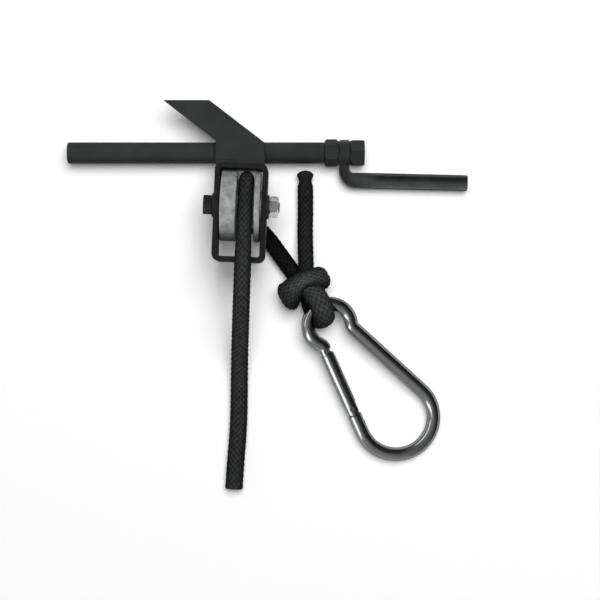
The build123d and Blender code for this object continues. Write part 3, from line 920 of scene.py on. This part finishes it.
painted(
    "black_paint", dark=(0.032, 0.0346, 0.0341), light=(0.045, 0.0486, 0.0478),
    rough=(0.5, 0.64), gloss=0.06, scales=(45.0, 1400.0), peel=0.05 * MM,
)
painted(
    "dull_black", dark=(0.009, 0.0096, 0.0096), light=(0.015, 0.016, 0.016),
    rough=(0.55, 0.7), gloss=0.25, scales=(60.0, 1800.0), peel=0.05 * MM,
)
painted(
    "black_oxide", dark=(0.008, 0.0084, 0.0084), light=(0.016, 0.0168, 0.0168),
    rough=(0.45, 0.62), gloss=0.35, scales=(220.0, 2600.0), peel=0.03 * MM,
)
print("paints", list(finishes))

# %% [markdown]
# ## Metals
# Bare and plated metals take their look from what they reflect. A metallic shader with two tones
# gives the mottle of zinc crystals or a casting, and noise drawn out into lines gives turning marks
# round the axle and drawing marks along a wire. The cast sheave is half dulled by oxide, so it is
# only partly metallic, and the hook and the side arm keep dark rims.

# %% A metal with its lines
LINE_STRENGTH = 0.5


def lines_along(heading, stretch, scale):
    """Values for the streak group: the turn that brings a heading to x, the stretch and the scale."""
    turn = (0.0, 0.0, -math.atan2(heading[1], heading[0]))
    return {"Turn": turn, "Stretch": stretch, "Scale": scale}


def metal(name, dark, light, rough, mottle, lines, depth, edge=1.0, bare=1.0):
    """A metal whose colour mottles between two tones and whose fine lines scatter the gloss.

    edge tints the reflection near grazing angles, as oxide on a worn plating does, and bare is the
    share of bright metal under dull oxide.
    """
    tree, shader = new_finish(name, Metallic=bare, Specular_Tint=(edge, edge, edge, 1.0))
    noise = place_group(tree, grain, Broad_Scale=mottle)
    line = place_group(tree, streaks, **lines).outputs["Line"]
    looks = {
        "Base Color": patches(tree, noise, dark, light),
        "Roughness": span(tree, line, *rough),
        "Normal": bump(tree, line, depth, LINE_STRENGTH),
    }
    give(shader, looks)


to_hook = np.cross(joints["hook_swing"]["axis"], up_z)
round_axle = lines_along(axle_dir, (1.0, 0.02, 0.02), 4000.0)
along_hook = lines_along(to_hook, (0.08, 1.0, 1.0), 2500.0)
along_arm = lines_along((1.0, 0.0), (0.05, 1.0, 1.0), 2500.0)
print("hook's heading", round(math.degrees(math.atan2(to_hook[1], to_hook[0])), 1), "degrees")

# %% [markdown]
# ## Metals round the axle and in the hook
# The axle's nut is bright zinc with its crystals, and the sheave is a mottled grey casting.
# Sleeve, stud and spring are plain steel and the bush is bronze, though little of them shows. The
# hook is smooth zinc with fine drawing marks, so the lamps draw long streaks on it.

# %% Zinc, steel, casting and bronze
metal(
    "zinc_plate", dark=(0.5, 0.51, 0.505), light=(0.95, 0.96, 0.955),
    rough=(0.2, 0.45), mottle=420.0, lines=round_axle, depth=0.02 * MM,
)
metal(
    "plain_steel", dark=(0.38, 0.38, 0.38), light=(0.55, 0.55, 0.55),
    rough=(0.25, 0.4), mottle=300.0, lines=round_axle, depth=0.02 * MM,
)
metal(
    "cast_grey", dark=(0.3, 0.305, 0.305), light=(0.58, 0.588, 0.588),
    rough=(0.42, 0.6), mottle=230.0, lines=round_axle, depth=0.05 * MM, bare=0.45,
)
metal(
    "bronze", dark=(0.42, 0.27, 0.1), light=(0.6, 0.42, 0.2),
    rough=(0.35, 0.5), mottle=300.0, lines=round_axle, depth=0.02 * MM,
)
metal(
    "bright_zinc", dark=(0.26, 0.264, 0.268), light=(0.32, 0.324, 0.328),
    rough=(0.12, 0.22), mottle=160.0, lines=along_hook, depth=0.01 * MM, edge=0.0,
)
print("finishes so far", list(finishes))

# %% [markdown]
# ## Side arm
# The side arm is blued steel. Its peg is rubbed bare by what it holds, so it is metallic and its
# lower side shows the pale room, but the eye and the bend are still dull black. One finish does both:
# the share of bare metal rises along the arm.

# %% Blued steel, rubbed bare
DULLED = (0.27, 0.27, 0.27)
DULL_TO_X, BARE_FROM_X = 0.168, 0.186


def rub_bare(name):
    """Makes a metal dull black up to one Object x, and bare from another on."""
    tree = finishes[name].node_tree
    shader = tree.nodes["Principled BSDF"]
    place = add(tree, "ShaderNodeTexCoord").outputs["Object"]
    axes = add(tree, "ShaderNodeSeparateXYZ", {"Vector": place})
    share = span(tree, axes.outputs["X"], 0.0, 1.0, DULL_TO_X, BARE_FROM_X)
    mottled = shader.inputs["Base Color"].links[0].from_socket
    dulled = ramp(tree, share, [(0.0, DULLED), (1.0, WHITE)])
    give(shader, {"Metallic": share, "Base Color": times(tree, mottled, dulled)})


metal(
    "blued_steel", dark=(0.11, 0.116, 0.115), light=(0.15, 0.158, 0.156),
    rough=(0.3, 0.44), mottle=90.0, lines=along_arm, depth=0.02 * MM, edge=0.0,
)
rub_bare("blued_steel")
print("side arm bare from", round(BARE_FROM_X / MM), "mm on")

# %% [markdown]
# ## Nylon and rope yarn
# The thrust washers are natural nylon, a milky plastic. The rope's colour follows the values that
# its mesh carries: painted darker in the gaps of the braid as shade, lighter on the crowns, and all
# of it times flecks of dust and the value of wear with painted shade and highlights. Yarns are fine
# ridges across each strand, too small for the mesh.

# %% Nylon and rope
YARNS = 3
YARN_DEPTH, YARN_STRENGTH = 0.06 * MM, 0.7
# The first colour is the braid's gaps painted darker, as shade; the second is the crowns' own grey.
SHADED_GAP, CROWN = (0.019, 0.0199, 0.0195), (0.041, 0.043, 0.0422)
FLECK = (0.6, 0.6, 0.6)
ROPE_ROUGH, NYLON_ROUGH = (0.72, 0.92), (0.38, 0.52)
CLOUDS = ((0.68, 0.67, 0.62), (0.78, 0.77, 0.72))


def nylon():
    """Milky plastic: faint clouds in the colour, and a soft gloss."""
    tree, shader = new_finish("nylon", Specular_IOR_Level=0.5)
    noise = place_group(tree, grain, Broad_Scale=200.0, Fine_Scale=1500.0)
    rough = span(tree, noise.outputs["Fine"], *NYLON_ROUGH)
    give(shader, {"Base Color": patches(tree, noise, *CLOUDS), "Roughness": rough})


def black_rope():
    """Black braid: gaps painted darker as shade, crowns grey with wear, and yarns as a sine across each strand."""
    tree, shader = new_finish("black_rope", Specular_IOR_Level=0.06)
    labels = ("braid_height", "across_strand", "wear_and_shading")
    high, across, wear_and_shading = (add(tree, "ShaderNodeAttribute", attribute_name=label) for label in labels)
    noise = place_group(tree, grain, Broad_Scale=420.0, Fine_Scale=2400.0)
    shade = ramp(tree, high.outputs["Fac"], [(0.3, SHADED_GAP), (0.9, CROWN)])
    fleck = ramp(tree, noise.outputs["Broad"], [(0.38, FLECK), (0.62, WHITE)])
    turns = {0: across.outputs["Fac"], 1: YARNS * 2 * math.pi}
    ridges = add(tree, "ShaderNodeMath", turns, operation="MULTIPLY").outputs["Value"]
    wave = add(tree, "ShaderNodeMath", {0: ridges}, operation="SINE").outputs["Value"]
    looks = {
        "Base Color": times(tree, times(tree, shade, fleck), wear_and_shading.outputs["Color"]),
        "Roughness": span(tree, noise.outputs["Fine"], *ROPE_ROUGH),
        "Normal": bump(tree, wave, YARN_DEPTH, YARN_STRENGTH),
    }
    give(shader, looks)


nylon()
black_rope()
print("finishes", len(finishes))

# %% [markdown]
# ## Finishes on their pieces
# Each CAD node keeps its mesh and gets the finish of its material slot in the record. Two differ:
# the side arm takes the blued steel with the bare peg, and the washers beside the bracket are as grey
# as the arm. The new pieces get their finishes from a list.

# %% Assign the finishes
slot_of = {part["node"]: part["material_slot"] for part in frame["record"]["subparts"]}
finish_of = {**slot_of, "side_arm": "blued_steel", "axle_washers": "black_paint"}
dressed = [(node, finish_of[name]) for name, node in nodes.items()]
dressed += [(piece, "black_rope") for piece in (haul, wrap, lift, tail, knot, loop)]
dressed += [(welds, "black_paint"), (spring, "plain_steel")]
for piece, finish in dressed:
    piece.data.materials.clear()
    piece.data.materials.append(finishes[finish])
print("dressed", len(dressed), "pieces with", len({finish for _, finish in dressed}), "finishes")

# %% [markdown]
# ## Lamps
# In the photograph soft shadows lie below and left of every piece, so a wide key lamp stands high,
# beyond the arm and a little to the right. It is far off, to light the table evenly, and stays out of
# reflections. The two bright streaks on the hook come from a tall strip and a wide window on the
# left, which only reflections show: they add no light to matt surfaces.

# %% Key, strip and window
middle = [(low + high) / 2 for low, high in zip(*cad_box)]
KEY_PLACE = (middle[0] + 0.4, middle[1] + 1.1, 3.34)
STRIP_PLACE, STRIP_TARGET = (-0.6, -0.73, 0.705), (0.17, -0.14, 0.0)
WINDOW_PLACE, WINDOW_TARGET = (-0.622, 0.206, 0.647), (0.185, -0.17, 0.0)


def lamp(name, place, target, size, watts):
    """A soft rectangular lamp at a place, turned towards a target."""
    data = bpy.data.lights.new(name, "AREA")
    data.shape = "RECTANGLE"
    data.size, data.size_y = size
    data.energy = watts
    light = bpy.data.objects.new(name, data)
    light.location = place
    aim = Vector(target) - Vector(place)
    light.rotation_euler = aim.to_track_quat("-Z", "Y").to_euler()
    scene.collection.objects.link(light)
    return light


key = lamp("key_lamp", KEY_PLACE, middle, size=(2.4, 2.4), watts=128.0)
key.visible_glossy = False
strip = lamp("strip_lamp", STRIP_PLACE, STRIP_TARGET, size=(0.28, 1.0), watts=2.8)
window = lamp("window_lamp", WINDOW_PLACE, WINDOW_TARGET, size=(1.1, 0.28), watts=2.4)
for light in (strip, window):
    light.visible_diffuse = False

# %% [markdown]
# ## Paper
# The table is white paper. The camera and reflections see it as plain diffuse white with a small
# even glow, which brings unshaded paper to full white and leaves the shadows in place. Real paper
# would also throw much light up at the pieces, which the photograph doesn't show, so rays that light
# matt things meet a duller paper. Light Path tells the rays apart.

# %% White paper
PAPER_HALF = 2.0
PAPER_DROP = 0.05 * MM
PAPER_WHITE, PAPER_DULL = (1.0, 1.0, 1.0, 1.0), (0.25, 0.25, 0.25, 1.0)
PAPER_GLOW = 0.11


def seen_ray(tree):
    """1 for rays from the camera, reflections and transmission, 0 for those that light matt things."""
    rays = add(tree, "ShaderNodeLightPath").outputs
    seen = rays["Is Camera Ray"]
    for label in ("Is Glossy Ray", "Is Transmission Ray"):
        seen = add(tree, "ShaderNodeMath", {0: seen, 1: rays[label]}, operation="MAXIMUM").outputs["Value"]
    return seen


def white_paper():
    """White paper with a little even glow for rays that see it, and dull paper for the others."""
    material = bpy.data.materials.new("white_paper")
    material.use_nodes = True
    tree = material.node_tree
    tree.nodes.clear()
    matt = add(tree, "ShaderNodeBsdfDiffuse", {"Color": PAPER_WHITE}).outputs["BSDF"]
    dull = add(tree, "ShaderNodeBsdfDiffuse", {"Color": PAPER_DULL}).outputs["BSDF"]
    even = {"Color": PAPER_WHITE, "Strength": PAPER_GLOW}
    glow = add(tree, "ShaderNodeEmission", even).outputs["Emission"]
    bright = add(tree, "ShaderNodeAddShader", {0: matt, 1: glow}).outputs["Shader"]
    mix = add(tree, "ShaderNodeMixShader", {"Fac": seen_ray(tree), 1: dull, 2: bright})
    add(tree, "ShaderNodeOutputMaterial", {"Surface": mix.outputs["Shader"]})
    return material


corners = PAPER_HALF * np.array([(-1, -1, 0), (1, -1, 0), (1, 1, 0), (-1, 1, 0)])
paper_mesh = bpy.data.meshes.new("paper")
paper_mesh.from_pydata(corners + (middle[0], middle[1], TABLE_Z - PAPER_DROP), [], [(0, 1, 2, 3)])
paper_mesh.materials.append(white_paper())
paper = bpy.data.objects.new("paper", paper_mesh)
scene.collection.objects.link(paper)
print("paper glow", PAPER_GLOW)

# %% [markdown]
# ## Room
# Metal shows the room that it stands in. Here the room is a gradient: pale to the lower left and dark
# to the upper right, which gives the hook its grey and black bands. From above the camera sees
# only paper, and matt surfaces get a fifth of the room, so that the key lamp's shadows stay clear.

# %% Room light
PALE_SIDE = (-0.82, -0.57, 0.0)
ROOM_LEVELS = ((0.0, 0.03), (0.3, 0.07), (0.5, 0.28), (0.62, 0.45), (1.0, 0.55))  # dark to pale
ROOM_ON_MATT = 0.2


def room_light():
    """The room: its level follows the share of the direction that points to the pale side."""
    world = bpy.data.worlds.new("room")
    world.use_nodes = True
    tree = world.node_tree
    place = add(tree, "ShaderNodeTexCoord").outputs["Generated"]
    lean = add(tree, "ShaderNodeVectorMath", {0: place, 1: PALE_SIDE}, operation="DOT_PRODUCT")
    share = span(tree, lean.outputs["Value"], 0.0, 1.0, -1.0, 1.0)
    level = ramp(tree, share, [(stop, (grey, grey, grey)) for stop, grey in ROOM_LEVELS])
    strength = span(tree, seen_ray(tree), ROOM_ON_MATT, 1.0, 0.0, 1.0)
    give(tree.nodes["Background"], {"Color": level, "Strength": strength})
    return world


scene.world = room_light()
print("room from", ROOM_LEVELS[0][1], "to", ROOM_LEVELS[-1][1])
